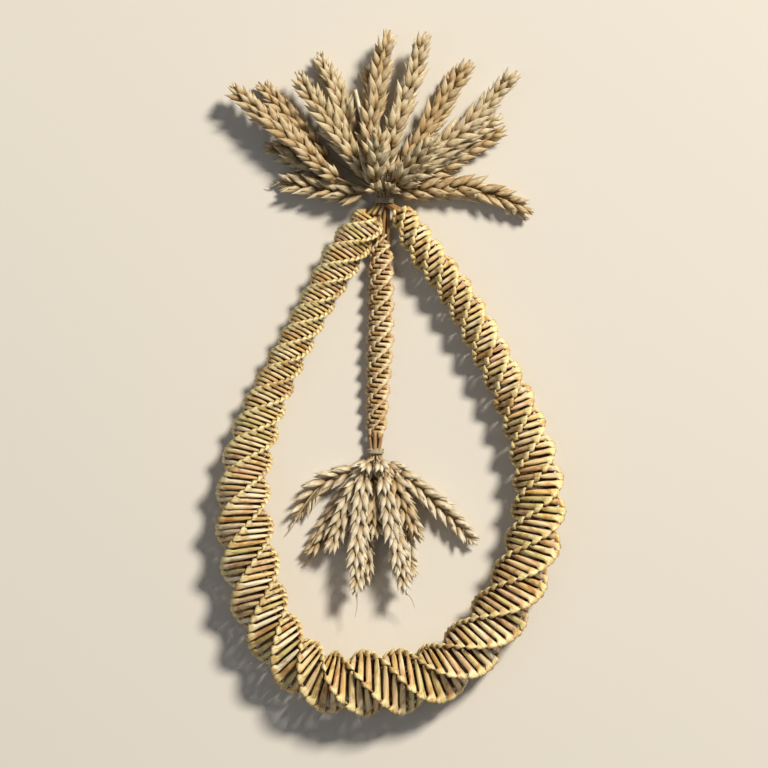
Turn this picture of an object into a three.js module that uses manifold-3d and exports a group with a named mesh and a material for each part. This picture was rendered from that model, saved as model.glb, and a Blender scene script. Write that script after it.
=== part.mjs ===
// Straw ornament (corn dolly): a drop-shaped loop of five-straw spiral plait, crowned with a fan
// of wheat ears. A thinner plait hangs inside the loop and ends in a spray of smaller ears.
// The ornament lies on its back. Millimetres, +Z up, +Y towards the fan, X across.
// Lengths run from the middle of the top tie, and heights from the floor.
import * as THREE from 'three';
import { mergeVertices } from 'three/addons/utils/BufferGeometryUtils.js';
import Module from 'manifold-3d';

const wasm = await Module();
wasm.setup();

// ---- Driving dimensions -------------------------------------------------------------------
const GAP = 0.3; // air between neighbouring pieces
const RIDGES = 4; // corners of the spiral plait
const FACET = 0.74; // middle of a plait's side, as a part of its corner radius
const STEPS_PER_TURN = 14; // cross-sections in one turn of the twist
const FLAT_DEPTH = 0.8; // how far the corners underneath are pressed flat

// The loop, from its right end at the tie, round the foot, to its left end. Each row is
// [x, y, corner radius, length of one turn of the twist].
const LOOP = [
  [7.9, -3.6, 4.4, 44],
  [10.8, -9.8, 6.8, 44],
  [17.6, -21.3, 8.6, 44],
  [37, -47.5, 9.1, 47],
  [54.6, -79, 9.8, 50],
  [70.6, -114, 11.1, 55],
  [77.3, -145, 13.4, 60],
  [72.5, -177, 14.5, 74],
  [53, -213, 14.9, 86],
  [26, -236.5, 15.6, 80],
  [-4, -241, 17.2, 72],
  [-33.3, -238.5, 15.6, 70],
  [-56.5, -214.5, 14.5, 76],
  [-67.4, -179.5, 15, 77],
  [-70, -141.3, 13.4, 69],
  [-61.4, -107, 11.2, 51],
  [-46.3, -75, 9.1, 47],
  [-33, -50, 9, 44],
  [-19, -26, 10.2, 49],
  [-8.6, -11.4, 8.8, 49],
  [-4.4, -4.6, 4.8, 49],
];
const LOOP_PHASE = 0.77; // where the first corner starts, radians
const LOOP_END_HEIGHT = 10.4; // both ends rise to the tie

// The hanging plait, from its neck under the loop's ends down to the low tie, in rows like those.
const PENDANT = [
  [0.9, -6, 1.9, 34],
  [0.9, -15, 1.9, 34],
  [-0.7, -22.5, 4.8, 34],
  [-1.5, -31, 6.4, 34],
  [-1.6, -50, 6.6, 34],
  [-2, -70, 6.9, 34],
  [-3, -90, 6.3, 34],
  [-3.9, -110, 5.3, 34],
  [-4.3, -118, 4.7, 34],
  [-4.3, -123.2, 3.3, 34],
];
const PENDANT_PHASE = 0.92;
const NECK_HEIGHT = 2.9; // the neck passes low, under the loop's ends

// Ties: turns of linen thread round a bundle of stalks, which lie in a honeycomb of this spacing.
const TOP_TIE = { x: 0, y: 0, z: 9, inner: 4.2, thread: 0.8, turns: 3, stalk: 0.65, spacing: 1.6 };
const LOW_TIE = { x: -4.3, y: -125.7, z: 4.7, inner: 3.65, thread: 0.7, turns: 3, stalk: 0.55, spacing: 1.4 };
const TIE_SIDES = 12;

const LEAD = 2.1; // a stalk runs on this far beyond the tie before it bends

// Ears of wheat. cell is the stalk's place in the bundle: a ring of the honeycomb and the clock
// angle in it, in degrees. foot and tip are the ends of the ear as [x, y] from its tie and the
// height, and bow is how far its middle bends to the left of the way it points.
const TOP_EARS = [
  { cell: [2, 150], foot: [-23.5, 11, 15], tip: [-77, 57, 13], bow: 0 },
  { cell: [2, 240], foot: [-28, 21.5, 7], tip: [-63, 59.5, 5], bow: 0 },
  { cell: [2, 120], foot: [-11, 15.5, 16], tip: [-44.5, 64, 14], bow: 0 },
  { cell: [1, 240], foot: [-15.5, 23, 5.5], tip: [-33.5, 74.5, 5], bow: -2.5 },
  { cell: [0, 0], foot: [-6.5, 28, 13.5], tip: [3, 85, 14], bow: 1.5 },
  { cell: [1, 60], foot: [2, 24, 17], tip: [21, 84, 16], bow: 0 },
  { cell: [1, 300], foot: [14, 25, 8], tip: [43, 70.5, 7], bow: 0 },
  { cell: [2, 30], foot: [13, 14.5, 17], tip: [66.5, 64.5, 17], bow: -3 },
  { cell: [2, 330], foot: [17.5, 11, 4.8], tip: [60.5, 37.5, 4.5], bow: 0 },
  { cell: [1, 0], foot: [16.6, 13.6, 13.4], tip: [58.5, 43.5, 10], bow: 0 },
  { cell: [2, 0], foot: [12, 4.6, 6.6], tip: [75, -6, 5], bow: 6 },
  { cell: [2, 90], foot: [-4.5, 6, 18], tip: [-2.5, 34, 38], bow: 0 },
  { cell: [2, 60], foot: [3.5, 6, 18], tip: [26.5, 29.5, 40], bow: 0 },
  { cell: [2, 270], foot: [-6.5, 33, 4.8], tip: [-7.5, 69.5, 4.5], bow: 0 },
  { cell: [2, 180], foot: [-13, 3.4, 10.5], tip: [-54.5, 9.5, 4.5], bow: 0 },
  { cell: [2, 210], foot: [-20, 8.6, 4.6], tip: [-60, 29.2, 4.5], bow: 0 },
];
const LOW_EARS = [
  { cell: [2, 180], foot: [-7.3, -7.5, 5.5], tip: [-41, -35, 4.3], bow: -5 },
  { cell: [1, 180], foot: [-9, -14, 4.6], tip: [-33.4, -54, 4.3], bow: 0 },
  { cell: [2, 150], foot: [-11, -17, 10.4], tip: [-24, -52, 10], bow: 0 },
  { cell: [1, 120], foot: [-4.5, -6, 12], tip: [-9.5, -72.5, 15], bow: -1.5 },
  { cell: [1, 240], foot: [-4, -15, 4], tip: [-4.8, -67.5, 4], bow: 0 },
  { cell: [0, 0], foot: [-0.8, -7, 7.5], tip: [0, -45.4, 11], bow: 0 },
  { cell: [1, 60], foot: [2.4, -6, 13], tip: [15.6, -71.8, 15.5], bow: 0 },
  { cell: [1, 300], foot: [8, -14, 4.2], tip: [18.4, -64.5, 4.2], bow: 0 },
  { cell: [2, 30], foot: [8.4, -12, 10], tip: [22.5, -46, 11.5], bow: 0 },
  { cell: [2, 0], foot: [6.4, -6, 6.5], tip: [51, -47.2, 4.5], bow: 1.5 },
];
const TOP_EAR_HALF = { width: 3.9, depth: 3.4 };
const LOW_EAR_HALF = { width: 3.9, depth: 3.2 };
const EAR_SIDES = 6;
const STALK_STEPS = 5;
const EAR_STEPS = 9;
const SPIKELET_SWELL = 0.07; // the ear's outline swells and shrinks by this part at each spikelet

// ---- Materials ----------------------------------------------------------------------------
const finish = (color, roughness) => new THREE.MeshStandardMaterial({ color, roughness, metalness: 0 });
const plaitedStraw = () => finish(0xc4a565, 0.5);
const wheatEar = () => finish(0xc2a676, 0.65);
const linenThread = () => finish(0x8f8672, 0.9);

// ---- Helpers ------------------------------------------------------------------------------
const UP = new THREE.Vector3(0, 0, 1);

function namedMesh(name, geometry, material) {
  const mesh = new THREE.Mesh(geometry, material);
  mesh.name = name;
  return mesh;
}

function closedOnly(geometry) {
  geometry.deleteAttribute('normal');
  geometry.deleteAttribute('uv');
  return mergeVertices(geometry);
}

// A capped cylinder bent along a curve. stations are the places of its cross-sections, from 0 to 1
// of the curve's length. half(t, angle) gives the distance from the curve to the skin at an angle,
// which is measured from the side of the curve towards the top.
function sweep(curve, stations, sides, half) {
  const last = stations.length - 1;
  const geometry = closedOnly(new THREE.CylinderGeometry(1, 1, last, sides, last));
  const position = geometry.getAttribute('position');
  const vertex = new THREE.Vector3();
  for (let i = 0; i < position.count; i += 1) {
    vertex.fromBufferAttribute(position, i);
    const station = Math.round(vertex.y + last / 2);
    const t = stations[station];
    const onSkin = Math.hypot(vertex.x, vertex.z) > 0.5;
    const angle = Math.atan2(vertex.z, vertex.x);
    const tangent = curve.getTangentAt(t);
    const side = new THREE.Vector3().crossVectors(tangent, UP).normalize();
    const top = new THREE.Vector3().crossVectors(side, tangent);
    const offset = onSkin ? half(t, angle) : { side: 0, top: 0 };
    vertex.copy(curve.getPointAt(t));
    vertex.addScaledVector(side, offset.side);
    vertex.addScaledVector(top, offset.top);
    position.setXYZ(i, vertex.x, vertex.y, vertex.z);
  }
  return geometry;
}

function toManifold(geometry) {
  return new wasm.Manifold(new wasm.Mesh({
    numProp: 3,
    vertProperties: new Float32Array(geometry.getAttribute('position').array),
    triVerts: new Uint32Array(geometry.getIndex().array),
  }));
}

// Presses flat whatever lies below the floor.
function pressFlat(geometry) {
  const size = 800;
  const below = closedOnly(new THREE.BoxGeometry(size, size, size).translate(0, 0, -size / 2));
  const mesh = toManifold(geometry).subtract(toManifold(below)).getMesh();
  const pressed = new THREE.BufferGeometry();
  pressed.setAttribute('position', new THREE.BufferAttribute(mesh.vertProperties, 3));
  pressed.setIndex(new THREE.BufferAttribute(mesh.triVerts, 1));
  return pressed;
}

// ---- Spiral plait -------------------------------------------------------------------------
// Four corners wind about the line like a right-handed screw thread. Between two corners the side
// is nearly flat.
function plait(line, phase, lowest) {
  const points = line.map(([x, y, radius]) => new THREE.Vector3(x, y, Math.max(radius, lowest) - FLAT_DEPTH));
  const curve = new THREE.CatmullRomCurve3(points);
  const sizes = new THREE.CatmullRomCurve3(line.map(([, , radius, turn]) => new THREE.Vector3(radius, turn, 0)));
  const samples = 600;
  const length = curve.getLength();
  const sizeAt = (t) => sizes.getPoint(curve.getUtoTmapping(t));

  const twist = [0];
  for (let i = 0; i < samples; i += 1) {
    const turnLength = sizeAt((i + 0.5) / samples).y;
    twist.push(twist[i] + (2 * Math.PI * length) / samples / turnLength);
  }
  const twistAt = (t) => {
    const i = Math.min(Math.floor(t * samples), samples - 1);
    return twist[i] + (twist[i + 1] - twist[i]) * (t * samples - i);
  };

  // Cross-sections lie at equal steps of the twist.
  const count = Math.round((twist[samples] / (2 * Math.PI)) * STEPS_PER_TURN);
  const stations = [0];
  for (let step = 1; step < count; step += 1) {
    const wanted = (twist[samples] * step) / count;
    const i = twist.findIndex((value) => value > wanted);
    stations.push((i - 1 + (wanted - twist[i - 1]) / (twist[i] - twist[i - 1])) / samples);
  }
  stations.push(1);

  const geometry = sweep(curve, stations, RIDGES * 2, (t, angle) => {
    const corner = Math.round(angle / (Math.PI / RIDGES)) % 2 === 0;
    const reach = sizeAt(t).x * (corner ? 1 : FACET);
    const turned = angle + phase - twistAt(t);
    return { side: reach * Math.cos(turned), top: reach * Math.sin(turned) };
  });
  return pressFlat(geometry);
}

// ---- Thread ties --------------------------------------------------------------------------
function threadTie(tie) {
  const profile = [];
  const halfLength = (tie.turns * tie.thread) / 2;
  const arcSteps = 3;
  for (let turn = 0; turn < tie.turns; turn += 1) {
    for (let step = turn === 0 ? 0 : 1; step <= arcSteps; step += 1) {
      const angle = (Math.PI * step) / arcSteps;
      const along = (turn + 0.5) * tie.thread - halfLength - (Math.cos(angle) * tie.thread) / 2;
      profile.push(new THREE.Vector2(tie.inner + tie.thread * (0.5 + 0.5 * Math.sin(angle)), along));
    }
  }
  profile.push(new THREE.Vector2(tie.inner, halfLength));
  profile.push(new THREE.Vector2(tie.inner, -halfLength));
  profile.push(profile[0].clone());
  const geometry = closedOnly(new THREE.LatheGeometry(profile, TIE_SIDES));
  return geometry.translate(tie.x, tie.y, tie.z);
}

// ---- Ears of wheat ------------------------------------------------------------------------
// Where a stalk lies in the bundle: the honeycomb's outer ring is nearer between its corners.
function cellCentre(tie, [ring, degrees]) {
  const betweenCorners = ring === 2 && degrees % 60 !== 0;
  const reach = tie.spacing * (betweenCorners ? Math.sqrt(3) : ring);
  const angle = THREE.MathUtils.degToRad(degrees);
  return { x: tie.x + reach * Math.cos(angle), z: tie.z + reach * Math.sin(angle) };
}

// The line of a stalk and its ear: straight through the tie, out to the foot, and on to the tip.
function stalkLine(tie, ear, direction) {
  const cell = cellCentre(tie, ear.cell);
  const halfTie = (tie.turns * tie.thread) / 2;
  const foot = new THREE.Vector3(tie.x + ear.foot[0], tie.y + ear.foot[1], ear.foot[2]);
  const tip = new THREE.Vector3(tie.x + ear.tip[0], tie.y + ear.tip[1], ear.tip[2]);
  const way = new THREE.Vector3().subVectors(tip, foot).normalize();
  const left = new THREE.Vector3().crossVectors(UP, way).normalize();
  const middle = new THREE.Vector3().addVectors(foot, tip).multiplyScalar(0.5).addScaledVector(left, ear.bow);
  return new THREE.CatmullRomCurve3([
    new THREE.Vector3(cell.x, tie.y - direction * (halfTie + GAP), cell.z),
    new THREE.Vector3(cell.x, tie.y + direction * (halfTie + GAP), cell.z),
    new THREE.Vector3(cell.x, tie.y + direction * (halfTie + GAP + LEAD), cell.z),
    foot,
    middle,
    tip,
  ]);
}

// How full the ear is at a place along it, from its foot (0) to its tip (1).
function fullness(place) {
  const rise = THREE.MathUtils.smoothstep(place, -0.05, 0.28);
  const fall = THREE.MathUtils.smoothstep(1.08 - place, 0, 0.45);
  return rise * fall;
}

function wheat(tie, ear, direction, half) {
  const curve = stalkLine(tie, ear, direction);
  const lengths = curve.getLengths(500);
  const footAt = lengths[300] / lengths[500]; // the foot is the fourth of the line's six points
  const stations = [];
  for (let i = 0; i < STALK_STEPS; i += 1) {
    stations.push((footAt * i) / STALK_STEPS);
  }
  for (let i = 0; i <= EAR_STEPS; i += 1) {
    stations.push(footAt + ((1 - footAt) * i) / EAR_STEPS);
  }
  return sweep(curve, stations, EAR_SIDES, (t, angle) => {
    const place = (t - footAt) / (1 - footAt);
    const swell = 1 + SPIKELET_SWELL * Math.cos(Math.round(place * EAR_STEPS) * Math.PI);
    const full = place < 0 ? 0 : fullness(place) * swell;
    return {
      side: Math.max(tie.stalk, half.width * full) * Math.cos(angle),
      top: Math.max(tie.stalk, half.depth * full) * Math.sin(angle),
    };
  });
}

// ---- Assembly -----------------------------------------------------------------------------
const ornament = new THREE.Group();
ornament.add(namedMesh('drop_plait', plait(LOOP, LOOP_PHASE, LOOP_END_HEIGHT), plaitedStraw()));
ornament.add(namedMesh('pendant_plait', plait(PENDANT, PENDANT_PHASE, NECK_HEIGHT), plaitedStraw()));
ornament.add(namedMesh('top_tie', threadTie(TOP_TIE), linenThread()));
ornament.add(namedMesh('pendant_tie', threadTie(LOW_TIE), linenThread()));

const numbered = (name, index) => `${name}_${String(index + 1).padStart(2, '0')}`;
TOP_EARS.forEach((ear, index) => {
  ornament.add(namedMesh(numbered('top_ear', index), wheat(TOP_TIE, ear, 1, TOP_EAR_HALF), wheatEar()));
});
LOW_EARS.forEach((ear, index) => {
  ornament.add(namedMesh(numbered('pendant_ear', index), wheat(LOW_TIE, ear, -1, LOW_EAR_HALF), wheatEar()));
});

// The origin is on the floor, under the middle of the ornament's box.
const box = new THREE.Box3().setFromObject(ornament);
const middle = box.getCenter(new THREE.Vector3());
ornament.position.set(-middle.x, -middle.y, -box.min.z);

export default ornament;
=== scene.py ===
# %% [markdown]
# # A straw ornament (corn dolly)
# A harvest ornament plaited from wheat straw. Five straws are folded round each other in turn,
# which makes a hollow four-sided plait that twists like a rope. A thick plait is bent into a drop
# and tied at the top together with a fan of wheat ears. A thinner plait hangs inside the drop and
# ends in a spray of smaller ears.
#
# The CAD frame holds one plain solid for each plait, tie and ear. Blender gives them what the
# solids leave out: the single folded straws, the husks of the ears and the twist of the thread.

# %% Load the frame
import math

import bpy
import numpy as np
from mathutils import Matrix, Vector


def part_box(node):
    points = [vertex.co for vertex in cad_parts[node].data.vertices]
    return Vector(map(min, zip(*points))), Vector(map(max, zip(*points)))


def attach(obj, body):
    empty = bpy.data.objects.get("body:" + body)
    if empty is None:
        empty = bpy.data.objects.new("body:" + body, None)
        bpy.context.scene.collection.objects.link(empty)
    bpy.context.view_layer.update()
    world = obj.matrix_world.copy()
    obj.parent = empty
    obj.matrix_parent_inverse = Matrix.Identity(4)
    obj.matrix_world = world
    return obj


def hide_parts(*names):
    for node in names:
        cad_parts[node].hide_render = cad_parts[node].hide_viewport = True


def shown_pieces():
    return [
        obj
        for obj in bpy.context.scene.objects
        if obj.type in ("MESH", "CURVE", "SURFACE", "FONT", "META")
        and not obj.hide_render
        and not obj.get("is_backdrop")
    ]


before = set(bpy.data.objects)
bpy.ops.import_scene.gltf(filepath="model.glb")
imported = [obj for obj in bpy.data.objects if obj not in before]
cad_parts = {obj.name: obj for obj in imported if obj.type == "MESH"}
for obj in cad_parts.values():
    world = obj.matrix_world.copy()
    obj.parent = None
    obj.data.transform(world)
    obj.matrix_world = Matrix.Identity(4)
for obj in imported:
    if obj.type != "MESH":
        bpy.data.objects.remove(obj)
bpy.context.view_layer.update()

print("CAD nodes:", len(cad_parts))

# %% [markdown]
# ## Units and places
# Lengths below are millimetres from the middle of the top tie, because a maker would measure from
# there. Heights are from the floor. Blender works in metres, so one function turns them over, and
# it takes the tie's place from the CAD frame.

# %% Millimetres to the frame
MM = 0.001
tie_low, tie_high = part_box("top_tie")
TIE = np.array([(tie_low.x + tie_high.x) / 2, (tie_low.y + tie_high.y) / 2, 0.0])
UP = np.array([0.0, 0.0, 1.0])


def to_frame(points):
    """Points in millimetres from the tie, as metres in the CAD frame."""
    return TIE + np.asarray(points, float) * MM


print("top tie, metres:", TIE.round(4))

# %% [markdown]
# ## A smooth line through a few points
# Every piece here follows a bent line. A centripetal Catmull-Rom curve goes through its points
# without loops, and it is the curve that the CAD solids follow, so the straws land on them.

# %% Smooth line
SAME_POINT = 1e-4  # points closer together than this count as one
LINE_STEPS = 2401  # places at which a whole line is worked out


def smooth(points, places):
    """The curve through points at places, which run from 0 at its start to 1 at its end."""
    points = np.asarray(points, float)
    last = len(points) - 1
    padded = np.vstack([2 * points[0] - points[1], points, 2 * points[-1] - points[-2]])
    span = np.minimum((np.asarray(places) * last).astype(int), last - 1)
    w = (np.asarray(places) * last - span)[:, None]
    p0, p1, p2, p3 = (padded[span + k] for k in range(4))
    chords = (p1 - p0, p2 - p1, p3 - p2)
    d0, d1, d2 = (np.sqrt(np.linalg.norm(chord, axis=1))[:, None] for chord in chords)
    d1 = np.where(d1 < SAME_POINT, 1.0, d1)
    d0 = np.where(d0 < SAME_POINT, d1, d0)
    d2 = np.where(d2 < SAME_POINT, d1, d2)
    leave = ((p1 - p0) / d0 - (p2 - p0) / (d0 + d1) + (p2 - p1) / d1) * d1
    reach = ((p2 - p1) / d1 - (p3 - p1) / (d1 + d2) + (p3 - p2) / d2) * d1
    squared = 3 * (p2 - p1) - 2 * leave - reach
    cubed = 2 * (p1 - p2) + leave + reach
    return p1 + leave * w + squared * w**2 + cubed * w**3


def unit(vectors):
    """Vectors of the same direction, one long."""
    return vectors / np.linalg.norm(vectors, axis=-1, keepdims=True)


def along_line(points):
    """Dense places, positions, lengths and directions along the curve through points."""
    places = np.linspace(0, 1, LINE_STEPS)
    centre = smooth(points, places)
    length = np.concatenate([[0], np.cumsum(np.linalg.norm(np.diff(centre, axis=0), axis=1))])
    return places, centre, length, unit(np.gradient(centre, length, axis=0))


print("halfway along a straight line of 10 mm:", smooth([[0, 0, 0], [10, 0, 0]], [0.5])[0])

# %% [markdown]
# ## The two plaits' lines
# Each row is a point of the plait's middle line: x, y, the corner radius, the length of one turn
# of the twist, and the spacing of the straws on one side. The maker packs the straws more closely
# in the left arm, and the plait swells towards the foot, where the straws lie further apart.

# %% Lines of the plaits
FLAT_DEPTH = 0.8  # how far the corners underneath are pressed flat
LOOP = [
    [7.9, -3.6, 4.4, 44, 3.0],
    [10.8, -9.8, 6.8, 44, 3.0],
    [17.6, -21.3, 8.6, 44, 3.0],
    [37, -47.5, 9.1, 47, 3.0],
    [54.6, -79, 9.8, 50, 3.1],
    [70.6, -114, 11.1, 55, 3.4],
    [77.3, -145, 13.4, 60, 3.6],
    [72.5, -177, 14.5, 74, 3.7],
    [53, -213, 14.9, 86, 3.8],
    [26, -236.5, 15.6, 80, 3.85],
    [-4, -241, 17.2, 72, 3.85],
    [-33.3, -238.5, 15.6, 70, 3.7],
    [-56.5, -214.5, 14.5, 76, 3.4],
    [-67.4, -179.5, 15, 77, 3.1],
    [-70, -141.3, 13.4, 69, 2.8],
    [-61.4, -107, 11.2, 51, 2.5],
    [-46.3, -75, 9.1, 47, 2.3],
    [-33, -50, 9, 44, 2.2],
    [-19, -26, 10.2, 49, 2.2],
    [-8.6, -11.4, 8.8, 49, 2.2],
    [-4.4, -4.6, 4.8, 49, 2.3],
]
LOOP_PHASE = 0.77  # where the corners stand at the loop's right end, in radians
LOOP_END_HEIGHT = 10.4  # the loop's middle line is nowhere lower than this
PENDANT = [
    [0.9, -6, 1.9, 34, 2.2],
    [0.9, -15, 1.9, 34, 2.2],
    [-0.7, -22.5, 4.8, 34, 2.4],
    [-1.5, -31, 6.4, 34, 2.4],
    [-1.6, -50, 6.6, 34, 2.4],
    [-2, -70, 6.9, 34, 2.4],
    [-3, -90, 6.3, 34, 2.4],
    [-3.9, -110, 5.3, 34, 2.4],
    [-4.3, -118, 4.7, 34, 2.4],
    [-4.3, -123.2, 3.3, 34, 2.4],
]
PENDANT_PHASE = 0.92
NECK_HEIGHT = 2.9  # the same for the hanging plait, whose neck is thin


def plait_body(rows, phase, lowest):
    """What a plait's skin is worked out from, at close steps along it."""
    rows = np.asarray(rows, float)
    height = np.maximum(rows[:, 2], lowest) - FLAT_DEPTH
    places, centre, length, tangent = along_line(np.column_stack([rows[:, :2], height]))
    sizes = smooth(np.column_stack([rows[:, 2:4], np.zeros(len(rows))]), places)
    side = unit(np.cross(tangent, UP))
    turning = 2 * np.pi / sizes[:, 1]
    steps = np.diff(length) * (turning[1:] + turning[:-1]) / 2
    return {
        "length": length,
        "centre": centre,
        "tangent": tangent,
        "side": side,
        "top": np.cross(side, tangent),
        "radius": sizes[:, 0],
        "lean": np.arctan(turning * sizes[:, 0]),
        "twist": np.concatenate([[0], np.cumsum(steps)]) - phase,
        "spacing": np.interp(places, np.linspace(0, 1, len(rows)), rows[:, 4]),
    }


# %% Values along a plait
def at_length(body, name, along):
    """One of the body's values at distances along the plait."""
    values = body[name]
    if values.ndim == 1:
        return np.interp(along, body["length"], values)
    return np.stack([np.interp(along, body["length"], values[:, k]) for k in range(3)], axis=-1)


loop_body = plait_body(LOOP, LOOP_PHASE, LOOP_END_HEIGHT)
pendant_body = plait_body(PENDANT, PENDANT_PHASE, NECK_HEIGHT)
for name, body in (("loop", loop_body), ("hanging plait", pendant_body)):
    print(name, "length, mm:", round(body["length"][-1]))

# %% [markdown]
# ## The skin of a plait
# A straw is easiest to draw on the plait laid out flat: so far to the right of a ridge, so far up
# the plait, and so high above the skin. This function rolls such places up into the real plait.
# The sides between ridges are nearly flat, and the way out turns quickly at a ridge.

# %% Roll the flat drawing round the plait
SIDE_BULGE = 0.033  # how far a side's middle stands out, as a part of the corner radius
RIDGE_ROUNDING = 0.3  # the part of a side over which the way out turns


def ease(value):
    """A smooth step: 0 up to 0, 1 from 1 on, level at both ends."""
    value = np.clip(value, 0, 1)
    return value * value * (3 - 2 * value)


def roll_up(body, ridge, across, along, height):
    """Points of the real plait, in millimetres, for places on the flat drawing of it."""
    radius = at_length(body, "radius", along)
    side, top = at_length(body, "side", along), at_length(body, "top", along)
    turn = ridge + across / (math.sqrt(2) * radius)
    face = np.floor(turn)
    part = turn - face
    corner = -at_length(body, "twist", along) - face * math.pi / 2

    def outward(angle):
        return side * np.cos(angle)[..., None] + top * np.sin(angle)[..., None]

    next_corner = corner - math.pi / 2
    chord = (1 - part)[..., None] * outward(corner) + part[..., None] * outward(next_corner)
    bulge = SIDE_BULGE * np.sin(math.pi * part)[..., None] * outward(corner - math.pi / 4)
    turned = (ease(part / RIDGE_ROUNDING) + 1 - ease((1 - part) / RIDGE_ROUNDING)) / 2
    skin = at_length(body, "centre", along) + radius[..., None] * (chord + bulge)
    return skin + height[..., None] * outward(corner - turned * math.pi / 2)


middle_mm = loop_body["length"][-1:] / 2
flat_place = (np.zeros(1), np.zeros(1), middle_mm, np.zeros(1))
print("a ridge at the loop's foot, mm:", roll_up(loop_body, *flat_place)[0].round(1))

# %% [markdown]
# ## One folded straw
# Each straw lies across one side of the plait, slips under the next ridge, and is folded there.
# The fold is pressed flat: it comes back along the ridge as a flap, over the ends of its
# neighbours, and then turns onto the next side. So a ridge is a row of flaps that overlap like
# roof tiles. The list of stations below says where the straw is, how wide and how thick it is, and
# which way its width points. A tube with many cross-sections follows them without a break, as one
# real straw does, where separate sticks would end in the air. A flap dips under the next one.

# %% Stations of one straw on the flat drawing
RING = 10  # corners of a straw's cross-section
ROUND = np.arange(RING) * 2 * math.pi / RING
FLAT = 8  # the column of the stations that says how flat the straw is pressed
STRAW_HALF = 1.42  # half the width of a full straw
PRESSED = 0.3  # half the thickness of a straw that is pressed flat
UNDER = -2.0  # how deep a straw lies below the skin where it slips under a ridge
CREASE = 248  # which way the fold runs on the flat drawing, in degrees
CREASE_OUT = -0.4  # the fold's middle is this far to the left of the ridge
FOOT_LENGTH = 5.0  # how soon a pressed foot becomes a round straw
FOOT_LONGEST = 0.42  # but no longer than this part of a side
FOOT_RISE = 0.42  # a pressed foot lies on top of the straws' ends
FOOT_TILT = 0.6  # how steeply a foot dips under its neighbour, the more the closer they lie
FOOT_PARTS = (0.0, 0.3, 0.58, 0.67, 0.78, 1.0)  # the stations along a foot
OPENS_FROM = 0.54  # the part of a foot where it starts to open into a round straw
OPENS_OVER = 0.3  # the part over which it opens
ROUND_PARTS = ((0.3, 1.03), (0.6, 0.97), (0.85, 0.82), (1.0, 0.7))  # the round part's places and sizes


def straw_stations(side_length, climb, lean, half, foot):
    """Rows of [ridge step, across, along, height, width angle, half width, half thickness, fold, flat, tilt].

    Across and along are measured from the ridge, along from the level of the straw. The width
    angle is in degrees from the way to the right, fold is 1 on the crease itself, and tilt sinks
    the upper edge under the foot above.
    """
    slim = half / STRAW_HALF
    pressed = PRESSED * slim
    crease_y = foot * math.sin(math.radians(180 + CREASE) % math.pi) - half
    crease_x = crease_y * math.tan(lean) + CREASE_OUT
    rows = [
        [0, 0.4, 0.8 * climb, UNDER * slim, 300, 0.6 * half, 0.45 * half, 0, 0.3, 0],
        [0, 1.4, 0.5 * climb + 0.5 * crease_y, 1.1 * UNDER * slim, 350, 0.6 * half, 0.4 * half, 0, 0.5, 0],
        [0, 1.5, crease_y, 0.9 * UNDER * slim, 390, 0.5 * foot, pressed, 0, 0.8, 0],
        [0, 0.2, crease_y, -1.2 * slim, CREASE + 180, 0.95 * foot, pressed, 0, 1, 0],
        [0, CREASE_OUT - 0.2, crease_y, -0.75 * slim, CREASE, 0.98 * foot, 1.3 * pressed, 1, 1, FOOT_TILT],
    ]
    foot_length = min(FOOT_LENGTH, FOOT_LONGEST * side_length)
    for part in FOOT_PARTS:
        done = float(ease((part - OPENS_FROM) / OPENS_OVER))
        width = foot + (half - foot) * done
        angle = CREASE + (270 - CREASE) * done
        x = crease_x + foot_length * part
        y = width * abs(math.sin(math.radians(angle))) - half
        thick = pressed + (0.9 * half - pressed) * done
        height = FOOT_RISE * (1 - done) - thick - 0.25 * slim * part
        across = x - y * math.tan(lean)
        rows.append([0, across, y, height, angle, width, thick, 0, 1 - done, FOOT_TILT * (1 - done)])
    first, last = crease_x + foot_length, side_length - 3.0 * slim
    for part, size in ROUND_PARTS:
        x = first + (last - first) * part
        height = -0.25 * slim - half * (0.9 + 0.25 * part**2)
        rows.append([0, x, 0, height, 270, half * size, 0.93 * half * size, 0, 0, 0])
    rows.append([1, -1.2 * slim, 0, 0.97 * UNDER * slim, 275, 0.55 * half, 0.5 * half, 0, 0.1, 0])
    return np.array(rows, float)


print("stations in one fold:", len(straw_stations(14, 3.5, 0.88, 1.3, 1.9)))

# %% [markdown]
# ## Tubes into a mesh
# Straws, husks and threads are all tubes: rings of points, one after another, with a cap on each
# end. One function joins any number of them into a mesh. It also keeps what the materials need: a
# tone for the stem's own colour, a place for what changes along it, a painted shade for what lies
# deep in the plait's shadow, and a map that runs in millimetres along the tube and once round it,
# so that fibres follow the straw.

# %% Rings of a tube
def tube(rings, tone=0.5, place=0.0, shade=0.0):
    """A tube of rings. Its tone, place and painted shade are one value, or one for each ring or point."""
    rings = np.asarray(rings, float)
    middles = rings.mean(axis=1)
    run = np.concatenate([[0], np.cumsum(np.linalg.norm(np.diff(middles, axis=0), axis=1))])
    item = {"rings": rings, "run": run}
    for key, value in (("tone", tone), ("place", place), ("shade", shade)):
        value = np.asarray(value, float)
        item[key] = np.broadcast_to(value[:, None] if value.ndim == 1 else value, rings.shape[:2])
    return item


def tube_faces(rings):
    """Quads and end caps of a tube, with their skins facing out."""
    count, sides = rings.shape[:2]
    first = np.arange(count - 1)[:, None] * sides
    here, onward = first + np.arange(sides), first + (np.arange(sides) + 1) % sides
    quads = np.stack([here, onward, onward + sides, here + sides], axis=-1).reshape(-1, 4)
    flat = (rings - rings.mean(axis=(0, 1))).reshape(-1, 3)
    a, b, c, d = (flat[quads[:, k]] for k in range(4))
    volume = np.einsum("ij,ij->i", a, np.cross(b, c)).sum() + np.einsum("ij,ij->i", a, np.cross(c, d)).sum()
    caps = [list(range(sides))[::-1], [(count - 1) * sides + k for k in range(sides)]]
    outward = volume > 0
    return quads if outward else quads[:, ::-1], caps if outward else [cap[::-1] for cap in caps], outward


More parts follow.
